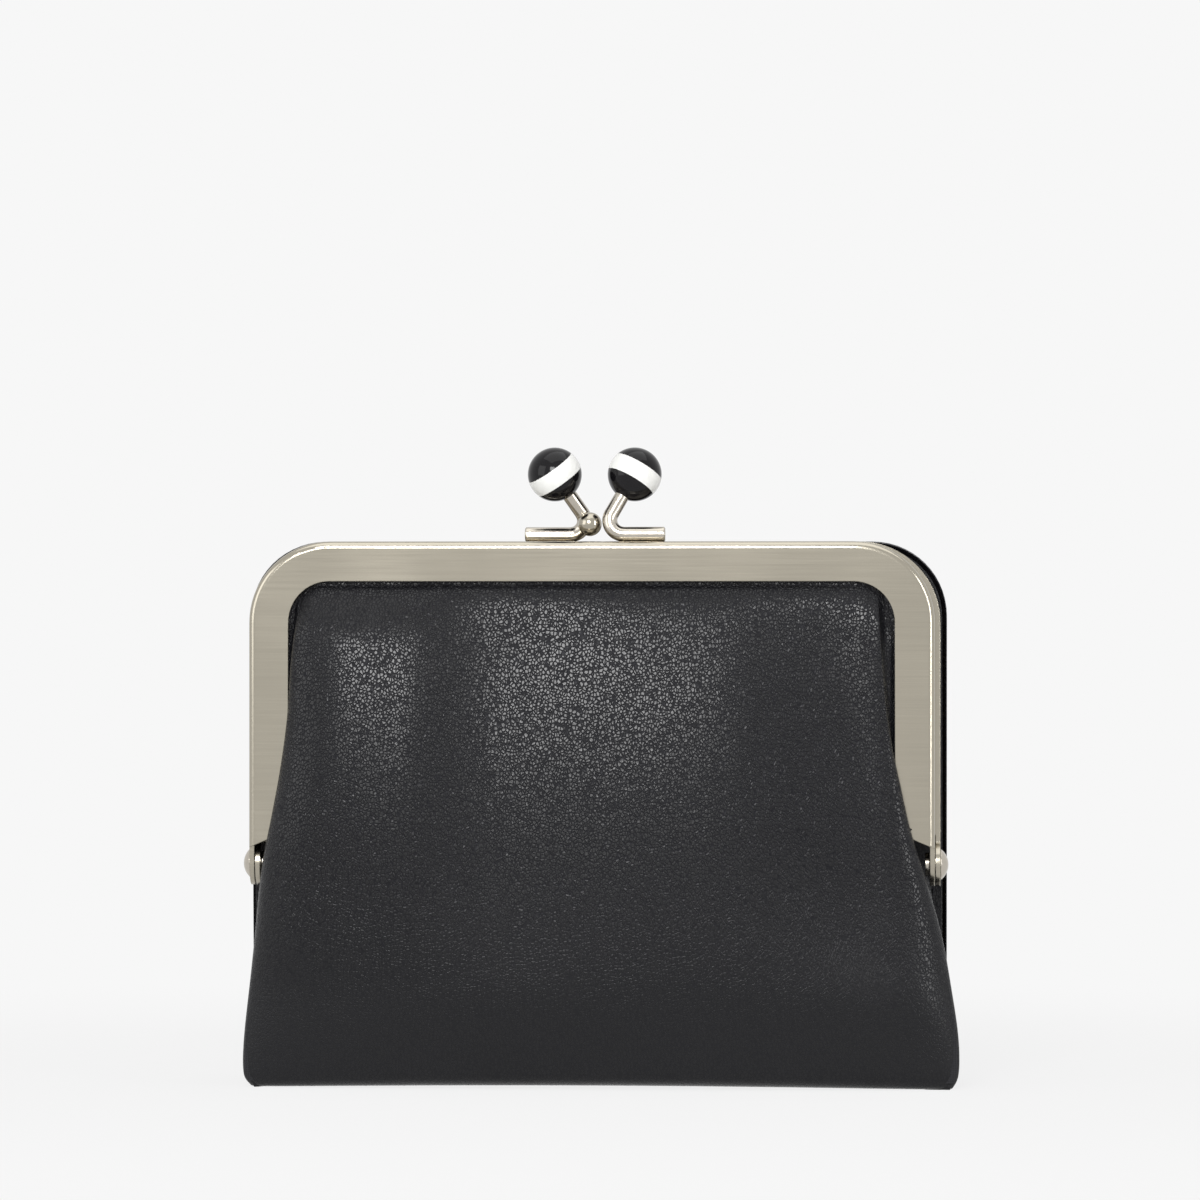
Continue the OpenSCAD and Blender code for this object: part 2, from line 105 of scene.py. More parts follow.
def only(piece):
    start_fresh()
    piece.select_set(True)
    bpy.context.view_layer.objects.active = piece


def apply_modifiers(piece):
    only(piece)
    for modifier in list(piece.modifiers):
        bpy.ops.object.modifier_apply(modifier=modifier.name)


def subdivide(piece, levels):
    modifier = piece.modifiers.new("smooth", "SUBSURF")
    modifier.levels = modifier.render_levels = levels


def thicken(piece, thickness_mm):
    modifier = piece.modifiers.new("thickness", "SOLIDIFY")
    modifier.thickness = thickness_mm * MM
    modifier.offset = -1


def soften_edges(piece, width_mm):
    modifier = piece.modifiers.new("soft edge", "BEVEL")
    modifier.width = width_mm * MM
    modifier.segments = EDGE_SEGMENTS
    modifier.limit_method = "ANGLE"
    modifier.angle_limit = SHARP_ANGLE


def finish_piece(piece, material):
    apply_modifiers(piece)
    bpy.ops.object.shade_smooth_by_angle(angle=SMOOTH_ANGLE)
    piece.data.materials.clear()
    piece.data.materials.append(material)
    report(piece)
    return piece


def keep_above(piece, height_mm):
    """Flatten what a fold pushed below a height"""
    apply_modifiers(piece)
    for vertex in piece.data.vertices:
        vertex.co.z = max(vertex.co.z, height_mm * MM)


def report(piece):
    spans = []
    for axis in range(3):
        values = [vertex.co[axis] / MM for vertex in piece.data.vertices]
        spans.append(f"{min(values):.1f} to {max(values):.1f}")
    print(piece.name, len(piece.data.polygons), "faces,", "  ".join(spans), "mm")


def mix(a, b, t):
    return a + (b - a) * t


def ease(t):
    t = min(max(t, 0), 1)
    return t * t * (3 - 2 * t)


# %% [markdown]
# The camera stands level with the purse, a little to the right of its middle, and
# far away with a long lens, as in a catalogue picture. The framing is worked out
# from the scale of the photograph: 0.16 mm for each pixel of 1200, with the
# middle of the picture 78 mm above the base.

# %% Camera
PIXEL = 0.16
PICTURE_PX = 1200
SENSOR = 36
CAMERA_TURN = math.radians(3)
CAMERA_AWAY = 900
LOOK_AT = Vector((0.8, 0, 78.1))
FRAME_PLANE = 4.8

bpy.ops.object.camera_add()
camera = bpy.context.object
away = Vector((math.sin(CAMERA_TURN), -math.cos(CAMERA_TURN), 0)) * CAMERA_AWAY
camera.location = (LOOK_AT + away) * MM
camera.rotation_euler = (math.radians(90), 0, CAMERA_TURN)
camera.data.sensor_width = SENSOR
camera.data.lens = SENSOR * (CAMERA_AWAY - FRAME_PLANE) / (PICTURE_PX * PIXEL)
bpy.context.scene.camera = camera
print("lens", round(camera.data.lens, 1))

# %% [markdown]
# Catalogue pictures are lit by soft boxes in a bright room. A small bright box
# stands above the camera and a little to the left: it makes the sheen on the
# folds and the sparkle of the grain. Wide dim boxes at the sides and overhead
# fill the rest. The world looks pale to the camera and in reflections, and gives
# less than that to dull surfaces, so nothing is lit too brightly.

# %% Lights and world
BACKGROUND = 0.93
AMBIENT = 0.30
LIGHT_AIM = Vector((0, 0, 45))


def soft_box(name, place, size, brightness):
    """Soft box aimed at the purse, with the brightness of its face"""
    start_fresh()
    bpy.ops.object.light_add(type="AREA", location=Vector(place) * MM)
    lamp = bpy.context.object
    lamp.name = name
    lamp.data.shape = "RECTANGLE"
    lamp.data.size, lamp.data.size_y = size[0] * MM, size[1] * MM
    lamp.data.energy = brightness * math.pi * lamp.data.size * lamp.data.size_y
    aim = LIGHT_AIM * MM - lamp.location
    lamp.rotation_euler = aim.to_track_quat("-Z", "Y").to_euler()
    print(name, round(lamp.data.energy, 2), "W")


soft_box("key_box", (-95, -688, 356), (240, 265), 17.0)
soft_box("left_box", (-620, -400, 280), (420, 480), 1.6)
soft_box("right_box", (590, -420, 230), (110, 440), 9.0)
soft_box("top_box", (40, -60, 780), (900, 640), 1.1)


def link(tree, source, target):
    tree.links.new(source, target)


def ranged(tree, value, low, high, to_low, to_high, smooth=False):
    made = tree.nodes.new("ShaderNodeMapRange")
    if smooth:
        made.interpolation_type = "SMOOTHSTEP"
    for name, number in (("From Min", low), ("From Max", high), ("To Min", to_low), ("To Max", to_high)):
        made.inputs[name].default_value = number
    link(tree, value, made.inputs["Value"])
    return made.outputs["Result"]


def combined(tree, operation, first, second):
    made = tree.nodes.new("ShaderNodeMath")
    made.operation = operation
    for slot, value in enumerate((first, second)):
        if isinstance(value, (int, float)):
            made.inputs[slot].default_value = value
        else:
            link(tree, value, made.inputs[slot])
    return made.outputs[0]


def seen_directly(tree):
    """1 for camera, glossy and transmission rays, and 0 for light on its way to other things"""
    path = tree.nodes.new("ShaderNodeLightPath")
    seen = combined(tree, "MAXIMUM", path.outputs["Is Camera Ray"], path.outputs["Is Glossy Ray"])
    return combined(tree, "MAXIMUM", seen, path.outputs["Is Transmission Ray"])


world = bpy.data.worlds.new("studio")
world.use_nodes = True
bpy.context.scene.world = world
sky = world.node_tree.nodes["Background"]
sky.inputs["Color"].default_value = (1, 1, 1, 1)
link(world.node_tree, ranged(world.node_tree, seen_directly(world.node_tree), 0, 1, AMBIENT, BACKGROUND),
     sky.inputs["Strength"])

# %% [markdown]
# The floor and the wall behind are large sheets of paper that look as pale as the
# world. The floor keeps a faint shadow near the purse. Elsewhere the camera looks
# through it, so the leaf can be seen when it hangs below the base.

# %% Floor and backdrop
SHADOW_SHARE = 0.12
SHADOW_REACH = (70, 260)
PAPER_WHITE = 0.8
SHEET_M = 6
BACKDROP_Y = 2900


def paper_material(name, shadow_share, see_through):
    material = bpy.data.materials.new(name)
    material.use_nodes = True
    tree = material.node_tree
    tree.nodes.clear()
    paper = tree.nodes.new("ShaderNodeBsdfDiffuse")
    paper.inputs["Color"].default_value = (PAPER_WHITE, PAPER_WHITE, PAPER_WHITE, 1)
    far = tree.nodes.new("ShaderNodeEmission")
    far.inputs["Color"].default_value = (BACKGROUND, BACKGROUND, BACKGROUND, 1)
    if see_through:
        clear = tree.nodes.new("ShaderNodeBsdfTransparent")
        path = tree.nodes.new("ShaderNodeLightPath")
        either = tree.nodes.new("ShaderNodeMixShader")
        link(tree, path.outputs["Is Camera Ray"], either.inputs["Fac"])
        link(tree, far.outputs[0], either.inputs[1])
        link(tree, clear.outputs[0], either.inputs[2])
        far = either
    place = tree.nodes.new("ShaderNodeTexCoord")
    length = tree.nodes.new("ShaderNodeVectorMath")
    length.operation = "LENGTH"
    link(tree, place.outputs["Object"], length.inputs[0])
    near, away = (reach * MM for reach in SHADOW_REACH)
    fade = ranged(tree, length.outputs["Value"], near, away, 1 - shadow_share, 1, smooth=True)
    blend = tree.nodes.new("ShaderNodeMixShader")
    output = tree.nodes.new("ShaderNodeOutputMaterial")
    link(tree, combined(tree, "MULTIPLY", seen_directly(tree), fade), blend.inputs["Fac"])
    link(tree, paper.outputs[0], blend.inputs[1])
    link(tree, far.outputs[0], blend.inputs[2])
    link(tree, blend.outputs[0], output.inputs["Surface"])
    return material


def studio_sheet(name, place, upright, shadow_share):
    start_fresh()
    bpy.ops.mesh.primitive_plane_add(size=SHEET_M, location=Vector(place) * MM)
    sheet = bpy.context.object
    sheet.name = name
    if upright:
        sheet.rotation_euler = (math.radians(90), 0, 0)
    bpy.ops.object.transform_apply(location=True, rotation=True, scale=True)
    sheet.data.materials.append(paper_material(name + "_paper", shadow_share, not upright))


studio_sheet("floor", (0, 0, 0), False, SHADOW_SHARE)
studio_sheet("backdrop", (0, BACKDROP_Y, 0), True, 0.0)
bpy.context.scene.view_settings.view_transform = "Standard"

# %% [markdown]
# Every finish starts from the Principled shader and a pattern. A few helpers add
# the nodes that all of them need. The pattern reads Object coordinates, which
# here are metres in the shared frame, so it has the same scale on every piece.


# %% Helpers for the finishes
BEVEL_SAMPLES = 6


def new_material(name):
    material = bpy.data.materials.new(name)
    material.use_nodes = True
    print("finish", name)
    return material, material.node_tree, material.node_tree.nodes["Principled BSDF"]


def object_pattern(tree, scale=(1, 1, 1)):
    coordinates = tree.nodes.new("ShaderNodeTexCoord")
    mapping = tree.nodes.new("ShaderNodeMapping")
    mapping.inputs["Scale"].default_value = scale
    link(tree, coordinates.outputs["Object"], mapping.inputs["Vector"])
    return mapping.outputs["Vector"]


def noise(tree, vector, scale, detail=2.0):
    made = tree.nodes.new("ShaderNodeTexNoise")
    made.inputs["Scale"].default_value = scale
    made.inputs["Detail"].default_value = detail
    link(tree, vector, made.inputs["Vector"])
    return made.outputs["Fac"]


def colours(tree, factor, first, second):
    made = tree.nodes.new("ShaderNodeMix")
    made.data_type = "RGBA"
    link(tree, factor, made.inputs["Factor"])
    for socket in made.inputs:
        if socket.type == "RGBA":
            socket.default_value = (*(first if socket.name == "A" else second), 1)
    return [socket for socket in made.outputs if socket.type == "RGBA"][0]


def bump(tree, height, depth_mm, strength, shader, edge_mm=0):
    """Bump from a height, on edges that look rounded by edge_mm"""
    made = tree.nodes.new("ShaderNodeBump")
    made.inputs["Strength"].default_value = strength
    made.inputs["Distance"].default_value = depth_mm * MM
    link(tree, height, made.inputs["Height"])
    if edge_mm:
        rounded = tree.nodes.new("ShaderNodeBevel")
        rounded.samples = BEVEL_SAMPLES
        rounded.inputs["Radius"].default_value = edge_mm * MM
        link(tree, rounded.outputs["Normal"], made.inputs["Normal"])
    link(tree, made.outputs["Normal"], shader.inputs["Normal"])


def bent_pattern(tree, place, scale, amount_mm):
    """The pattern's place, moved about by noise so that its cells are uneven"""
    waver = tree.nodes.new("ShaderNodeTexNoise")
    waver.inputs["Scale"].default_value = scale
    link(tree, place, waver.inputs["Vector"])
    bent = tree.nodes.new("ShaderNodeMix")
    bent.data_type = "VECTOR"
    bent.inputs["Factor"].default_value = amount_mm * MM
    vectors = [socket for socket in bent.inputs if socket.type == "VECTOR"]
    link(tree, place, vectors[-2])
    link(tree, waver.outputs["Color"], vectors[-1])
    return [socket for socket in bent.outputs if socket.type == "VECTOR"][0]


# %% [markdown]
# The leather is black calf with a fine pebble grain. The pebbles have low tops
# with soft creases between them, so the pattern is a Voronoi texture that measures
# the distance to the cells' borders, cut off short, and bent by a little noise.
# It is bump, because the real grain is a twentieth of a millimetre deep. The
# creases are rougher than the tops, and their reflection is tinted darker as
# painted shade. The hide lies smoother near the base, where it is stretched over
# the fold.

# %% Leather
# Noise scales per metre: the bends of the cells, the pebbles' tops, pores, the whole hide
BEND_SCALE, TOPS_SCALE, PORES_SCALE, HIDE_SCALE = 420, 1300, 4200, 85
BEND_MM = 0.35
TOPS_SHARE, PORES_SHARE = 1.1, 0.2
# Part of a cell from its border to where the pebble is full
CREASE_PART = 0.20
# Darker tint of the reflection in the creases: painted shade
CREASE_PAINTED_SHADE = (0.42, 0.42, 0.45)
CREASE_ROUGHER = 0.2
STRETCHED_LOW, STRETCHED_HIGH, STRETCHED_SHARE = 4, 34, 0.35
LEATHER_SHINE = 0.33


def leather_material(name, dark, light, grain_mm, depth_mm, rough):
    material, tree, shader = new_material(name)
    place = object_pattern(tree, (1.0, 1.0, 0.8))
    cells = tree.nodes.new("ShaderNodeTexVoronoi")
    cells.feature = "DISTANCE_TO_EDGE"
    cells.inputs["Scale"].default_value = 1 / (grain_mm * MM)
    link(tree, bent_pattern(tree, place, BEND_SCALE, BEND_MM), cells.inputs["Vector"])
    pebbles = ranged(tree, cells.outputs["Distance"], 0.0, CREASE_PART, 0.0, 1.0, smooth=True)
    tops = combined(tree, "MULTIPLY", noise(tree, place, TOPS_SCALE), TOPS_SHARE)
    pores = combined(tree, "MULTIPLY", noise(tree, place, PORES_SCALE), PORES_SHARE)
    grain = combined(tree, "ADD", pebbles, combined(tree, "ADD", tops, pores))

    hide = noise(tree, place, HIDE_SCALE, 3.0)
    apart = tree.nodes.new("ShaderNodeSeparateXYZ")
    link(tree, place, apart.inputs[0])
    stretched = ranged(tree, apart.outputs["Z"], STRETCHED_LOW * MM, STRETCHED_HIGH * MM,
                       STRETCHED_SHARE, 1.0, smooth=True)
    worn = combined(tree, "MULTIPLY", ranged(tree, hide, 0.35, 0.65, 0.9, 1.0), stretched)
    bump(tree, combined(tree, "MULTIPLY", grain, worn), depth_mm, 1.0, shader)

    link(tree, colours(tree, hide, dark, light), shader.inputs["Base Color"])
    gloss = combined(tree, "ADD", ranged(tree, pebbles, 0.0, 1.0, rough + CREASE_ROUGHER, rough),
                     ranged(tree, hide, 0.35, 0.65, 0.03, -0.03))
    link(tree, gloss, shader.inputs["Roughness"])
    # Painted shade: the reflection is tinted darker in the creases, where little light comes out
    unshaded_share = combined(tree, "MAXIMUM", pebbles, combined(tree, "SUBTRACT", 1.0, stretched))
    link(tree, colours(tree, unshaded_share, CREASE_PAINTED_SHADE, (1, 1, 1)), shader.inputs["Specular Tint"])
    shader.inputs["Specular IOR Level"].default_value = LEATHER_SHINE
    return material


LEATHER_BLACK = leather_material(
    "black_leather", (0.0030, 0.0030, 0.0040), (0.0055, 0.0055, 0.0070),
    grain_mm=0.48, depth_mm=0.055, rough=0.25)
INNER_LEATHER = leather_material(
    "inner_leather", (0.0035, 0.0035, 0.0042), (0.006, 0.006, 0.007),
    grain_mm=0.45, depth_mm=0.025, rough=0.40)

# %% [markdown]
# The frame is plated steel, brushed with a fine belt. Belt brushing leaves long,
# very thin lines, all in one direction, so the pattern is noise that is stretched
# a hundred times along X. It drives the roughness and a very shallow bump, and
# the metal's warm colour comes from the nickel. The Bevel node rounds the edges of
# the sheet for the light only, so that they catch a thin bright line.


# %% Nickel
# Noise scales per metre along X, Y and Z
BRUSH_LINES = (80, 8200, 8200)
BRUSH_DEPTH_MM = 0.002
SHEET_EDGE_MM, ROD_EDGE_MM = 0.22, 0.3


def brushed_nickel(dark, light):
    material, tree, shader = new_material("brushed_nickel")
    lines = noise(tree, object_pattern(tree, BRUSH_LINES), 1.0, 1.0)
    clouds = noise(tree, object_pattern(tree), 60)
    link(tree, colours(tree, lines, dark, light), shader.inputs["Base Color"])
    shader.inputs["Metallic"].default_value = 1.0
    rough = combined(tree, "ADD", ranged(tree, lines, 0.3, 0.7, 0.15, 0.19),
                     ranged(tree, clouds, 0.3, 0.7, -0.02, 0.03))
    link(tree, rough, shader.inputs["Roughness"])
    bump(tree, lines, BRUSH_DEPTH_MM, 0.6, shader, SHEET_EDGE_MM)
    return material


def polished_nickel(dark, light):
    material, tree, shader = new_material("polished_nickel")
    smudge = noise(tree, object_pattern(tree), 420, 3.0)
    link(tree, colours(tree, smudge, dark, light), shader.inputs["Base Color"])
    shader.inputs["Metallic"].default_value = 1.0
    link(tree, ranged(tree, smudge, 0.3, 0.7, 0.14, 0.24), shader.inputs["Roughness"])
    bump(tree, smudge, 0.01, 0.3, shader, ROD_EDGE_MM)
    return material


BRUSHED = brushed_nickel((0.372, 0.343, 0.282), (0.415, 0.384, 0.317))
POLISHED = polished_nickel((0.42, 0.385, 0.33), (0.56, 0.52, 0.455))

# %% [markdown]
# The balls are polished resin, the linings a plain weave, and the cords that pack
# the frame's groove are twisted kraft paper.


# %% Resin, cloth and paper
# A wave of scale 1 repeats every 0.314 of a unit
WAVE_TURN = 0.314


def resin(name, dark, light, shine):
    material, tree, shader = new_material(name)
    swirl = noise(tree, object_pattern(tree), 300)
    link(tree, colours(tree, swirl, dark, light), shader.inputs["Base Color"])
    link(tree, ranged(tree, swirl, 0.3, 0.7, 0.05, 0.10), shader.inputs["Roughness"])
    shader.inputs["Specular IOR Level"].default_value = shine
    bump(tree, swirl, 0.01, 0.1, shader)
    return material


def woven_cloth(name, dark, light, thread_mm):
    material, tree, shader = new_material(name)
    place = object_pattern(tree)
    waves = []
    for direction in ("X", "Z"):
        wave = tree.nodes.new("ShaderNodeTexWave")
        wave.bands_direction = direction
        wave.inputs["Scale"].default_value = WAVE_TURN / (thread_mm * MM)
        wave.inputs["Distortion"].default_value = 0.6
        link(tree, place, wave.inputs["Vector"])
        waves.append(wave.outputs["Fac"])
    weave = combined(tree, "MAXIMUM", *waves)
    link(tree, colours(tree, weave, dark, light), shader.inputs["Base Color"])
    shader.inputs["Roughness"].default_value = 0.75
    shader.inputs["Specular IOR Level"].default_value = 0.2
    shader.inputs["Sheen Weight"].default_value = 0.1
    bump(tree, weave, 0.05, 0.5, shader)
    return material


def fibre_board(name, dark, light):
    material, tree, shader = new_material(name)
    fibres = noise(tree, object_pattern(tree, (300, 300, 1800)), 1.0, 4.0)
    link(tree, colours(tree, fibres, dark, light), shader.inputs["Base Color"])
    shader.inputs["Roughness"].default_value = 0.85
    bump(tree, fibres, 0.05, 0.4, shader)
    return material


BLACK_RESIN = resin("black_resin", (0.004, 0.004, 0.005), (0.009, 0.008, 0.009), 0.22)
WHITE_RESIN = resin("white_resin", (0.78, 0.78, 0.75), (0.84, 0.84, 0.82), 0.3)
LINING_CLOTH = woven_cloth("lining_cloth", (0.006, 0.006, 0.007), (0.022, 0.022, 0.025), 0.35)
PAPER = fibre_board("kraft_paper", (0.32, 0.22, 0.12), (0.52, 0.39, 0.24))

# %% [markdown]
# The metal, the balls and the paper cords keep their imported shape. A finish is
# given by assigning a material to the object's slots.

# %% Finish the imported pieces
FINISHES = {
    BRUSHED: ["front_frame", "rear_frame", "catch_bead"],
    POLISHED: ["left_clasp_rod", "right_clasp_rod", "left_rivet", "right_rivet"],
    BLACK_RESIN: ["left_ball", "right_ball"],
    WHITE_RESIN: ["left_ball_band", "right_ball_band"],
    PAPER: ["front_paper_cord", "rear_paper_cord", "leaf_board"],
}
for material, names in FINISHES.items():
    for name in names:
        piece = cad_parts[name]
        if not piece.material_slots:
            piece.data.materials.append(material)
        for slot in piece.material_slots:
            slot.material = material
    print(material.name, "on", ", ".join(names))

# %% [markdown]
# The front is one piece of leather. It starts under the purse at the back, runs
# forward, turns up at a soft fold, bulges, and ends in the groove of the frame.
# It could be made by cloth simulation, but the photograph shows where each soft
# fold runs, so a grid is laid out and its points are placed by a rule: first the
# outline seen from the front, then the depth of the bulge, then the folds.

# %% Outline of the front leather
# Height and distance from the middle of the widest points on each side
LEFT_EDGE = [
    (0, 54.9), (1.6, 56.3), (8, 56.3), (15, 55.5), (25, 54.4), (35, 53.3), (43, 51.7), (51, 50.2),
    (60, 49.0), (68, 48.5), (76, 47.5),
]
RIGHT_EDGE = [
    (0, 57.3), (1.6, 58.3), (5, 58.6), (9, 58.4), (16, 57.3), (25, 55.7), (34, 53.0), (41, 50.8),
    (49, 49.0), (56, 47.5), (66, 46.3), (76, 45.6),
]
# Above this height the edge comes to lie inside the frame's opening
INSIDE_Z, INSIDE_H = 62, 10


def along(points, height):
    """Smooth curve through points of (height, value)"""
    height = min(max(height, points[0][0]), points[-1][0])
    k = max(i for i in range(len(points) - 1) if points[i][0] <= height)
    (z0, a), (z1, b) = points[k], points[k + 1]
    before, after = points[max(k - 1, 0)], points[min(k + 2, len(points) - 1)]
    slope_a = (b - before[1]) / (z1 - before[0])
    slope_b = (after[1] - a) / (after[0] - z0)
    t, span = (height - z0) / (z1 - z0), z1 - z0
    return ((2 * t**3 - 3 * t**2 + 1) * a + (t**3 - 2 * t**2 + t) * span * slope_a
            + (3 * t**2 - 2 * t**3) * b + (t**3 - t**2) * span * slope_b)


def mouth_x(side, height):
    """Edge of the frame's opening on the left (-1) or right (1)"""
    corner = (FRAME_HIGH.x if side > 0 else -FRAME_LOW.x) - CORNER_R
    rise = min(max(height - CORNER_Z, 0), MOUTH_R)
    return corner + math.sqrt(MOUTH_R**2 - rise**2)


def groove_x(side, height):
    corner = (FRAME_HIGH.x if side > 0 else -FRAME_LOW.x) - CORNER_R
    rise = min(max(height - CORNER_Z, 0), GROOVE_R)
    return corner + math.sqrt(GROOVE_R**2 - rise**2)


def front_edge(side, height):
    edge = along(RIGHT_EDGE if side > 0 else LEFT_EDGE, height)
    return mix(edge, min(edge, mouth_x(side, CORNER_Z)), ease((height - INSIDE_Z) / INSIDE_H))


def inside_mouth(side, x, height):
    """How far a point lies inside the opening's edge, in the upper part of the frame"""
    across = mouth_x(side, CORNER_Z) - MOUTH_R
    if x > across and height > CORNER_Z:
        return MOUTH_R - math.hypot(x - across, height - CORNER_Z)
    return MOUTH_TOP - height


print("front leather", round(front_edge(-1, 8) + front_edge(1, 8), 1), "mm wide near the base")

# %% [markdown]
# The bulge is deepest at 28 mm above the base. The soft folds run down from the
# frame and fan out, so each fold line has a place at its top and at its low end.
# Between the lines the leather rises and sinks on a smooth curve, and the folds
# fade out at both ends.

# %% Depth and soft folds of the front leather
BULGE, BULGE_Z, BASE_FRONT, FOLD_R = 13.0, 28.0, 9.2, 2.2
FOLDS_TOP, FOLDS_LOW, FOLDS_FADE = 90, 18, 0.6
# x at the top, x at the low end, height of the leather there
FOLD_LINES = [
    (-44, -55, 1.6), (-38, -49, 2.1), (-31, -39, 1.4), (-27, -33, 1.15), (-21, -22, -0.5),
    (-16, -16, -1.25), (-10, -10, -1.3), (4, 3, -0.65), (10, 10, -0.5), (17, 20, -0.4),
    (22, 26, -0.6), (33, 36, -1.7), (38, 42, -2.0), (41, 46, -1.7), (44, 50, -0.6), (47, 55, 0.1),
]
# x and z of the two ends, half width, height: wrinkles of the lower right corner
WRINKLES = [(33, 42, 50, 14, 5.0, -0.7), (44, 30, 55, 8, 3.5, 0.7), (38, 26, 54, 16, 2.5, -0.35)]


def front_depth(height):
    if height > BULGE_Z:
        share = min((height - BULGE_Z) / (MOUTH_TOP - BULGE_Z), 1)
        return mix(GROOVE_Y, BULGE, (1 - share**2) ** 0.7)
    depth = mix(BULGE, BASE_FRONT, ((BULGE_Z - height) / BULGE_Z) ** 2)
    short = max(FOLD_R - height, 0)
    return depth - FOLD_R + math.sqrt(FOLD_R**2 - short**2)


def soft_folds(x, height):
    t = (height - FOLDS_LOW) / (FOLDS_TOP - FOLDS_LOW)
    total = 0
    if 0 < t < 1:
        lines = [(mix(low, top, t), rise) for top, low, rise in FOLD_LINES]
        total = along(lines, x) * math.sin(math.pi * t) ** FOLDS_FADE
    for x0, z0, x1, z1, width, rise in WRINKLES:
        t = (height - z0) / (z1 - z0)
        if 0 < t < 1:
            total += rise * math.sin(math.pi * t) * math.exp(-(((x - mix(x0, x1, t)) / width) ** 2))
    return total


print("depth at the base, the bulge and the corners",
      [round(front_depth(height), 1) for height in (0, BULGE_Z, CORNER_Z)])

# %% [markdown]
# A column of the grid is a number from -2 to 2. From -1 to 1 it crosses the bulge.
# Past that it follows the edge: above the legs' ends it tucks back behind the
# frame's face, and below them it is a narrow hem that the gusset is sewn to.

# %% Points of the front leather
HEM, HEM_SLOPE, MITRE_H = 1.2, 0.5, 6
BASE_HOLLOW, HOLLOW_HALF, HOLLOW_H = 0.5, 52, 3
# Depth of the side edges, low down and beside the frame's legs, and where it changes
EDGE_Y, TUCK_Y = 4.5, 6.5
EDGE_Z, EDGE_H = 20, 26
FRONT_POWER = 2.8
CALM_TOP = 8
SINK_H, SINK_RISE, SINK_POWER, SINK_IN = 5, 1.35, 0.75, 0.3


def front_point(column, height):
    side = 1 if column > 0 else -1
    across = abs(column)
    edge = front_edge(side, height)
    tucked = ease((height - LEG_END_Z) / 2)
    depth = front_depth(height)
    side_y = min(mix(EDGE_Y, TUCK_Y, ease((height - EDGE_Z) / EDGE_H)), max(depth - 0.6, GROOVE_Y))
    turn = math.radians(90 * min(across, 1))
    x = edge * math.sin(turn) ** (2 / FRONT_POWER)
    y = mix(side_y, depth, math.cos(turn))
    calm = (1 - min(across, 1) ** 4) * ease((MOUTH_TOP - height) / CALM_TOP)
    y += soft_folds(side * x, height) * calm
    # In the upper corners the leather sinks behind the frame's face
    if height > CORNER_Z - SINK_H:
        sunk = GROOVE_Y + SINK_RISE * max(inside_mouth(side, x, height) - SINK_IN, 0) ** SINK_POWER
        y = mix(y, min(y, sunk), ease((height - CORNER_Z + SINK_H) / SINK_H))
    if across > 1:
        past = across - 1
        mouth = mouth_x(side, CORNER_Z) - 0.2
        hem = (edge - HEM_SLOPE * past, side_y - HEM * past)
        # Round the inner edge of the frame's face, then into its groove
        turns = [
            (edge, side_y),
            (mix(edge, mouth, 0.35), min(side_y, mix(side_y, FACE_Y + 0.2, 0.75))),
            (mouth, min(FACE_Y + 0.12, side_y)),
            (mouth + 0.25, GROOVE_Y + 0.1),
            (groove_x(side, height), GROOVE_Y),
        ]
        tuck = turns[round(past * 4)]
        x, y = (mix(hem[k], tuck[k], tucked) for k in (0, 1))
        y = mix(y, GROOVE_Y, ease((height - CORNER_Z + SINK_H) / SINK_H))
        x = min(x, groove_x(side, height))
    return Vector((side * x, -y, height))


def base_lift(x):
    """The base is a little hollow between its corners"""
    return BASE_HOLLOW * max(1 - (x / HOLLOW_HALF) ** 2, 0)


print("foremost point", [round(value, 1) for value in front_point(0, BULGE_Z)])

# %% [markdown]
# shaped_grid adds a grid primitive and moves its points to where a rule puts
# them. Rows run up and columns run to the right, so the faces look forward.


# %% Build the front leather
def shaped_grid(name, columns, rows, place):
    start_fresh()
    bpy.ops.mesh.primitive_grid_add(
        x_subdivisions=len(columns) - 1, y_subdivisions=len(rows) - 1, size=1)
    piece = bpy.context.object
    piece.name = name
    for index, vertex in enumerate(piece.data.vertices):
        row, column = divmod(index, len(columns))
        vertex.co = place(columns[column], rows[row]) * MM
    return piece


ACROSS_STEPS = 22
COLUMNS = ([-2, -1.75, -1.5, -1.25] + [k / ACROSS_STEPS for k in range(-ACROSS_STEPS, ACROSS_STEPS + 1)]
           + [1.25, 1.5, 1.75, 2])
BASE_BACK = 8.7
BASE_ROWS = [("base", t) for t in (0, 0.25, 0.5, 0.75)]
FRONT_ROWS = [("front", z) for z in (0.0, 0.5, 1.4, 2.6, 4.5)]
FRONT_ROWS += [("front", z) for z in range(8, 37, 4)]
FRONT_ROWS += [("front", LEG_END_Z + z) for z in (-2.5, -1, 0, 1, 2)]
FRONT_ROWS += [("front", z) for z in range(46, 77, 3)]
FRONT_ROWS += [("front", MOUTH_TOP - z) for z in (2.4, 1.1, 0.3)]
GROOVE_ROWS = [("groove", z) for z in (0.6, 2, 4.4)]
GROOVE_TOP = CORNER_Z + GROOVE_R


def front_place(column, row):
    kind, value = row
    if kind == "groove":
        height = MOUTH_TOP + value
        side = math.copysign(1, column)
        reach = groove_x(side, min(height, GROOVE_TOP - 0.1))
        across = min(min(abs(column), 1) ** (2 / FRONT_POWER) * mouth_x(side, CORNER_Z), reach)
        across = mix(across, reach, max(abs(column) - 1, 0))
        return Vector((math.copysign(across, column), -GROOVE_Y, min(height, GROOVE_TOP - 0.1)))
    point = front_point(column, 0 if kind == "base" else value)
    # The hem turns the lower corner with a mitre
    turned = HEM * max(abs(column) - 1, 0)
    if kind == "base":
        point.y = mix(BASE_BACK - turned, point.y, value)
        point.z += turned
    elif value < MITRE_H:
        point.z += turned * (1 - value / MITRE_H)
    if kind == "base" or value < HOLLOW_H:
        point.z += base_lift(point.x) * (1 if kind == "base" else 1 - value / HOLLOW_H)
    return point


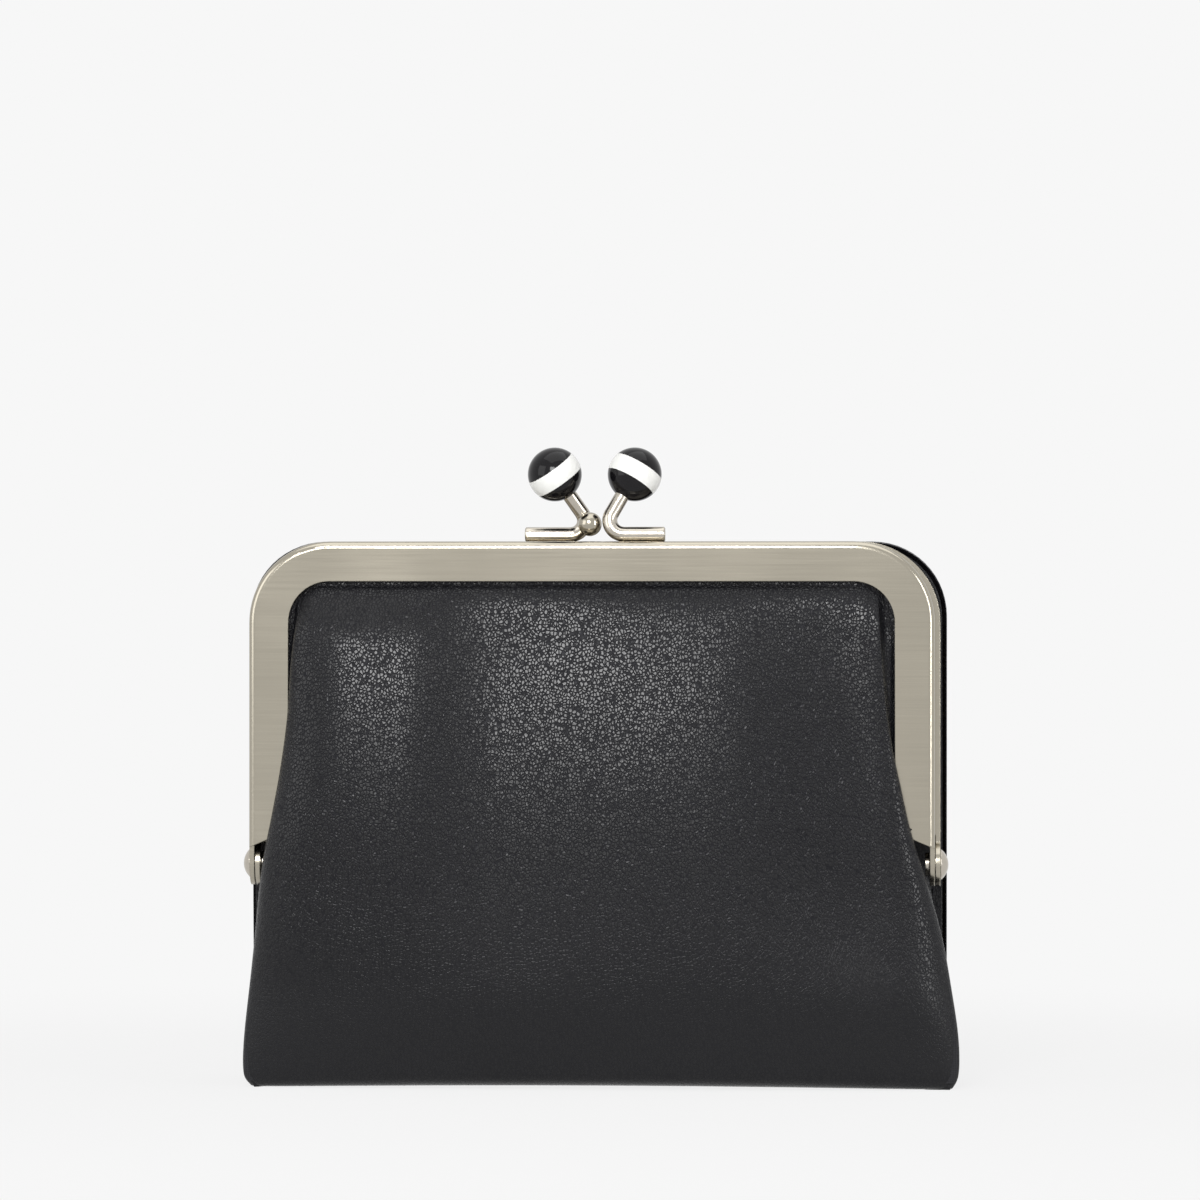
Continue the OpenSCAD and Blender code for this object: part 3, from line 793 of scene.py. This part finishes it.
front_shape = shaped_grid("front_leather", COLUMNS, BASE_ROWS + FRONT_ROWS + GROOVE_ROWS, front_place)
subdivide(front_shape, 2)
apply_modifiers(front_shape)

# %% [markdown]
# The rear leather lies flatter, because the leaf rests against it, and it is a
# little wider than the front where the photograph shows it beside the gusset.

# %% Build the rear leather
REAR_Y = 9.6
REAR_LEAN = math.tan(math.radians(3.2))
REAR_EDGE_Y = 6.4
REAR_HALF, REAR_TAPER, REAR_NARROW_H = 57.0, 0.12, 7
REAR_SHIFT, REAR_TOP_SHIFT = 0.9, 0.45
REAR_POWER = 8


def rear_half(height):
    narrow = ease((height - LEG_END_Z + REAR_NARROW_H) / REAR_NARROW_H)
    return mix(REAR_HALF - REAR_TAPER * height, mouth_x(-1, height) - 0.3, narrow)


def rear_point(column, height):
    side = -1 if column > 0 else 1
    across = abs(column)
    half = rear_half(height)
    tucked = ease((height - LEG_END_Z) / 2)
    level = ease((height - LEG_END_Z + 2) / 2)
    flat = (1 - min(height / MOUTH_TOP, 1) ** 14) ** 0.6
    depth = mix(GROOVE_Y, REAR_Y - height * REAR_LEAN, flat)
    side_y = mix(REAR_EDGE_Y, GROOVE_Y, level)
    depth = max(depth, side_y)
    turn = math.radians(90 * min(across, 1))
    x = half * math.sin(turn) ** (2 / REAR_POWER) if across else 0
    y = mix(side_y, depth, math.cos(turn))
    if across > 1:
        past = across - 1
        x += past * mix(-HEM_SLOPE, groove_x(-side, height) - half, tucked)
        y -= past * HEM * (1 - tucked)
    shift = mix(REAR_SHIFT, REAR_TOP_SHIFT, level)
    return Vector((side * x + shift, y, height))


REAR_ROWS = [0.3, 2, 5] + list(range(10, 37, 5)) + [LEG_END_Z + z for z in (-2, 0, 1, 2)]
REAR_ROWS += list(range(48, 77, 4)) + [MOUTH_TOP - 2, MOUTH_TOP - 0.6, MOUTH_TOP + 1, GROOVE_TOP - 0.1]
rear_shape = shaped_grid("rear_leather", COLUMNS, REAR_ROWS, rear_point)
subdivide(rear_shape, 1)
apply_modifiers(rear_shape)

# %% [markdown]
# Each leather has a thin woven lining behind it. A copy of the smooth sheet is
# pushed inwards by a little more than the leather's thickness, and then both get
# their wall from a Solidify modifier.

# %% Linings
LINING = 0.3
LINING_IN = LEATHER + 0.08


def lining_of(piece, name):
    only(piece)
    bpy.ops.object.duplicate()
    copy = bpy.context.object
    copy.name = name
    push = copy.modifiers.new("push in", "DISPLACE")
    push.mid_level = 0
    push.strength = -LINING_IN * MM
    thicken(copy, LINING)
    keep_above(copy, LEATHER)
    return finish_piece(copy, LINING_CLOTH)


front_lining = lining_of(front_shape, "front_lining_cloth")
rear_lining = lining_of(rear_shape, "rear_lining_cloth")
for piece in (front_shape, rear_shape):
    thicken(piece, LEATHER)
    keep_above(piece, 0)
    finish_piece(piece, LEATHER_BLACK)

# %% [markdown]
# A gusset closes each side. Its edges are sewn inside the hems of the front and
# the rear, so they are placed at the ends of those hems, half a millimetre in, and
# the sheet between them folds inwards while the purse is shut. Its top lies behind
# the rivet, where the photograph shows black leather below the frame's leg.

# %% Side gussets
GUSSET_T = 0.6
GUSSET_FOLD, GUSSET_TOP_FOLD = 6.0, 0.2
GUSSET_CLOSE_Z, GUSSET_CLOSE_H = 27, 12
PLEAT = 0.35
GUSSET_STEPS = 8
GUSSET_ROWS = [1.0, 3, 6, 12, 18, 24, 29, 33, 36, 38.5, LEG_END_Z]
HEM_IN, HEM_OVERLAP = 0.5, 0.35


def gusset_point(side):
    def place(column, height):
        front, rear = front_point(2 * side, height), rear_point(-2 * side, height)
        front.y -= HEM_OVERLAP
        rear.y += HEM_OVERLAP
        across = (column + 1) / 2
        closed = ease((height - GUSSET_CLOSE_Z) / GUSSET_CLOSE_H)
        fold = mix(GUSSET_FOLD, GUSSET_TOP_FOLD, closed) * (1 - abs(column) ** 1.3)
        pleat = PLEAT * math.sin(height * 0.55 + 4 * column) * (1 - column**2)
        x = mix(front.x, rear.x, across) - side * (HEM_IN + fold + pleat)
        return Vector((x, mix(front.y, rear.y, across), height))
    return place


gussets = []
for side, name in ((-1, "left"), (1, "right")):
    columns = [k / GUSSET_STEPS for k in range(-GUSSET_STEPS, GUSSET_STEPS + 1)]
    if side < 0:
        columns.reverse()
    piece = shaped_grid(name + "_gusset_leather", columns, GUSSET_ROWS, gusset_point(side))
    subdivide(piece, 2)
    apply_modifiers(piece)
    thicken(piece, GUSSET_T)
    gussets.append(finish_piece(piece, INNER_LEATHER))

# %% [markdown]
# The leaf behind is a stiffened cover with a turned edge and card pockets on its
# inner side. It is drawn upright round its fold and then leant against the purse.
# The cover is a plane whose top corners are beveled round. It is extruded to its
# depth, its inner face is inset by the width of the turned edge, and that face is
# pushed back to make the tray that the layers lie in.

# %% Leaf
LEAF_T = 6.0
LEAF_AXIS = Vector((0, 13.0, 3.0))
LEAF_LEAN = math.radians(3.2)
LEAF_W = LEAF_HIGH.x - LEAF_LOW.x
LEAF_H = 84.6
LEAF_CORNER, CORNER_SEGMENTS = 12.0, 14
LEAF_ROUND, LAYER_ROUND = 0.45, 0.2


def lean_leaf(piece):
    piece.data.transform(Matrix.Translation(LEAF_AXIS * MM) @ Matrix.Rotation(LEAF_LEAN, 4, "X"))


def rounded_slab(name, inset, high, corner, near_y, far_y):
    """Upright slab from near_y to far_y, with round top corners"""
    start_fresh()
    half, low = LEAF_W / 2 - inset, inset
    bpy.ops.mesh.primitive_plane_add(size=1)
    piece = bpy.context.object
    piece.name = name
    corners = [(-half, low), (half, low), (-half, high), (half, high)]
    for vertex, (x, z) in zip(piece.data.vertices, corners):
        vertex.co = Vector((x, near_y, z)) * MM
    if corner > 0:
        bpy.ops.object.mode_set(mode="EDIT")
        bpy.ops.mesh.select_all(action="DESELECT")
        bpy.ops.object.mode_set(mode="OBJECT")
        for vertex in piece.data.vertices:
            vertex.select = vertex.co.z > (high - 1) * MM
        bpy.ops.object.mode_set(mode="EDIT")
        bpy.ops.mesh.select_mode(type="VERT")
        bpy.ops.mesh.bevel(affect="VERTICES", offset=corner * MM, segments=CORNER_SEGMENTS)
    bpy.ops.object.mode_set(mode="EDIT")
    bpy.ops.mesh.select_all(action="SELECT")
    bpy.ops.mesh.extrude_region_move(
        TRANSFORM_OT_translate={"value": (0, (far_y - near_y) * MM, 0)})
    bpy.ops.mesh.select_all(action="SELECT")
    bpy.ops.mesh.normals_make_consistent(inside=False)
    bpy.ops.object.mode_set(mode="OBJECT")
    return piece


def select_facing(piece, direction):
    only(piece)
    bpy.ops.object.mode_set(mode="EDIT")
    bpy.ops.mesh.select_mode(type="FACE")
    bpy.ops.mesh.select_all(action="DESELECT")
    bpy.ops.object.mode_set(mode="OBJECT")
    for face in piece.data.polygons:
        face.select = face.normal.dot(Vector(direction)) > 0.9
    bpy.ops.object.mode_set(mode="EDIT")


COVER_FRONT, COVER_BACK, RIM_W, TRAY = -0.05, 3.0, 1.6, 1.95
cover = rounded_slab("leaf_cover_leather", 0, LEAF_H, LEAF_CORNER, COVER_FRONT, COVER_BACK)
select_facing(cover, (0, -1, 0))
bpy.ops.mesh.inset(thickness=RIM_W * MM)
bpy.ops.transform.translate(value=(0, TRAY * MM, 0))
bpy.ops.object.mode_set(mode="OBJECT")
soften_edges(cover, LEAF_ROUND)
lean_leaf(cover)
finish_piece(cover, LEATHER_BLACK)

# %% [markdown]
# The leaf's inner lining covers the turned edge. Each pocket is a slab with a
# creased line pressed along its opening, and the next pocket lies in front of it,
# twelve millimetres lower.

# %% Card pockets
POCKET_T, LAYER_GAP, POCKET_INSET = 0.65, 0.1, 0.8
POCKET_H, POCKET_STEP, POCKETS = 38.0, 12.0, 3
CREASE_LOW, CREASE_HALF = 1.5, 0.16
LAYER = POCKET_T + LAYER_GAP
inner = rounded_slab("leaf_inner_leather", POCKET_INSET, LEAF_H - POCKET_INSET,
                     LEAF_CORNER - POCKET_INSET, -LEAF_T / 2 + POCKETS * LAYER,
                     -LEAF_T / 2 + POCKETS * LAYER + POCKET_T)
soften_edges(inner, LAYER_ROUND)
lean_leaf(inner)
finish_piece(inner, INNER_LEATHER)
leaf_pieces = [cover, inner]
pockets = []
for number in range(1, POCKETS + 1):
    step = POCKETS - number
    near = -LEAF_T / 2 + step * LAYER
    high = POCKET_H + step * POCKET_STEP
    pocket = rounded_slab(f"card_pocket_leather_{number}", POCKET_INSET, high, 0, near, near + POCKET_T)
    select_facing(pocket, (0, -1, 0))
    bpy.ops.mesh.bisect(plane_co=(0, 0, (high - CREASE_LOW) * MM), plane_no=(0, 0, 1))
    bpy.ops.mesh.bevel(offset=CREASE_HALF * MM, segments=2, profile=0.15)
    bpy.ops.object.mode_set(mode="OBJECT")
    soften_edges(pocket, LAYER_ROUND)
    lean_leaf(pocket)
    pockets.append(finish_piece(pocket, INNER_LEATHER))

# %% [markdown]
# A strip of leather joins the purse to the leaf. It runs from under the base round
# the leaf's lower end and a little way up its back, where it is sewn down, and it
# is the hinge of the leaf.

# %% Spine fold
SPINE_T = 0.9
STRAP_H, STRAP_Y = 10.0, COVER_BACK + 0.3
SPINE_LOW, SPINE_UNDER = 0.06, 0.4


def spine_place(column, row):
    x = column * LEAF_W / 2
    if row <= 1:
        return Vector((x, mix(BASE_BACK - SPINE_UNDER, LEAF_AXIS.y, row), SPINE_LOW))
    if row <= 2:
        turn = math.radians(90 * (row - 1))
        drop = LEAF_AXIS.z - SPINE_LOW
        return Vector((x, LEAF_AXIS.y + STRAP_Y * math.sin(turn), LEAF_AXIS.z - drop * math.cos(turn)))
    return LEAF_AXIS + Matrix.Rotation(LEAF_LEAN, 3, "X") @ Vector((x, STRAP_Y, STRAP_H * (row - 2)))


SPINE_ROWS = [0, 0.33, 0.67, 1] + [1 + k / 8 for k in range(1, 9)] + [2.2, 2.6, 3]
spine = shaped_grid("spine_leather", [k / 6 for k in range(6, -7, -1)], SPINE_ROWS, spine_place)
thicken(spine, SPINE_T)
soften_edges(spine, LAYER_ROUND)
finish_piece(spine, LEATHER_BLACK)

# %% [markdown]
# The leaf's layers are sewn together near their edge. One stitch is a small sphere
# pressed long and flat. It is copied along each seam, turned a few degrees as a
# hand-sewn stitch is, and the copies are joined into one piece.

# %% Stitches
STITCH = (2.3, 0.36, 0.42)
STITCH_STEP, STITCH_IN = 3.3, 2.3
STITCH_SLANT = math.radians(7)
# From the strap's upper edge to the leaf's seam above it, and to the strap's own seam
ABOVE_STRAP, BELOW_STRAP = 1.2, 1.5


def cover_seam():
    """Corners and arcs of the seam on the leaf's back, as (x, height)"""
    half, high, corner = LEAF_W / 2 - STITCH_IN, LEAF_H - STITCH_IN, LEAF_CORNER - STITCH_IN
    points = [(-half, STRAP_H + ABOVE_STRAP)]
    for middle, first in ((-half + corner, 180), (half - corner, 90)):
        for step in range(0, 91, 9):
            angle = math.radians(first - step)
            points.append((middle + corner * math.cos(angle), high - corner + corner * math.sin(angle)))
    return points + [(half, STRAP_H + ABOVE_STRAP)]


def stitch_places(points, depth):
    """Evenly spaced (x, depth, height, angle) along a line; depth is a rule of the height"""
    places, left_over = [], STITCH_STEP / 2
    for (x0, z0), (x1, z1) in zip(points, points[1:]):
        length = math.hypot(x1 - x0, z1 - z0)
        while left_over < length:
            t = left_over / length
            height = mix(z0, z1, t)
            places.append((mix(x0, x1, t), depth(height), height, -math.atan2(z1 - z0, x1 - x0)))
            left_over += STITCH_STEP
        left_over -= length
    return places


def layer_depth(height):
    """Face of the layer that lies on top at a height, on the leaf's inner side"""
    hidden = sum(height > POCKET_H + POCKET_STEP * k for k in range(POCKETS))
    return -LEAF_T / 2 + hidden * LAYER


def sew(name, places):
    start_fresh()
    bpy.ops.mesh.primitive_uv_sphere_add(segments=10, ring_count=6, radius=0.5 * MM)
    model = bpy.context.object
    model.data.transform(Matrix.Diagonal((*STITCH, 1)))
    copies = []
    for x, depth, height, angle in places:
        only(model)
        bpy.ops.object.duplicate()
        copy = bpy.context.object
        turned = Matrix.Rotation(angle + STITCH_SLANT, 4, "Y")
        copy.data.transform(Matrix.Translation(Vector((x, depth, height)) * MM) @ turned)
        copies.append(copy)
    only(model)
    bpy.ops.object.delete()
    start_fresh()
    for copy in copies:
        copy.select_set(True)
    bpy.context.view_layer.objects.active = copies[0]
    bpy.ops.object.join()
    copies[0].name = name
    print(name, len(places), "stitches")
    return copies[0]


seam_x = LEAF_W / 2 - STITCH_IN
places = stitch_places(cover_seam(), lambda height: COVER_BACK)
strap_seam = [(side * seam_x, STRAP_H - BELOW_STRAP) for side in (-1, 1)]
places += stitch_places(strap_seam, lambda height: STRAP_Y)
for side in (-1, 1):
    places += stitch_places([(side * seam_x, 3), (side * seam_x, LEAF_H - LEAF_CORNER)], layer_depth)
stitches = sew("leaf_stitches", places)
lean_leaf(stitches)
finish_piece(stitches, LINING_CLOTH)

# %% [markdown]
# The rear leather and its lining ride on the purse's body of the imported model,
# and the leaf, its pockets and its stitches ride on the leaf's body. On the real
# purse the front bends between the base, which stands still, and the frame half
# that swings, the spine bends between the purse and the leaf, and a gusset's front
# edge moves with the front and its rear edge with the rear. Here these pieces only
# have their transforms baked in. The imported pieces they stand for are hidden.

# %% Ride and replace
for piece in (front_shape, front_lining):
    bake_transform(piece)
for piece in gussets:
    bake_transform(piece)
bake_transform(spine)
for piece in (rear_shape, rear_lining):
    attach(piece, "purse")
for piece in leaf_pieces + pockets + [stitches]:
    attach(piece, "back_leaf")

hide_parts("front_panel", "pouch_bottom")
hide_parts("front_lining", "pouch_lining")
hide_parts("rear_panel")
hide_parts("rear_lining")
for piece, name in zip(gussets, ("left_gusset", "right_gusset")):
    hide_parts(name)
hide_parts("leaf_cover")
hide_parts("leaf_lining")
for number, piece in enumerate(pockets, 1):
    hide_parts(f"card_pocket_{number}")
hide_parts("spine_fold")
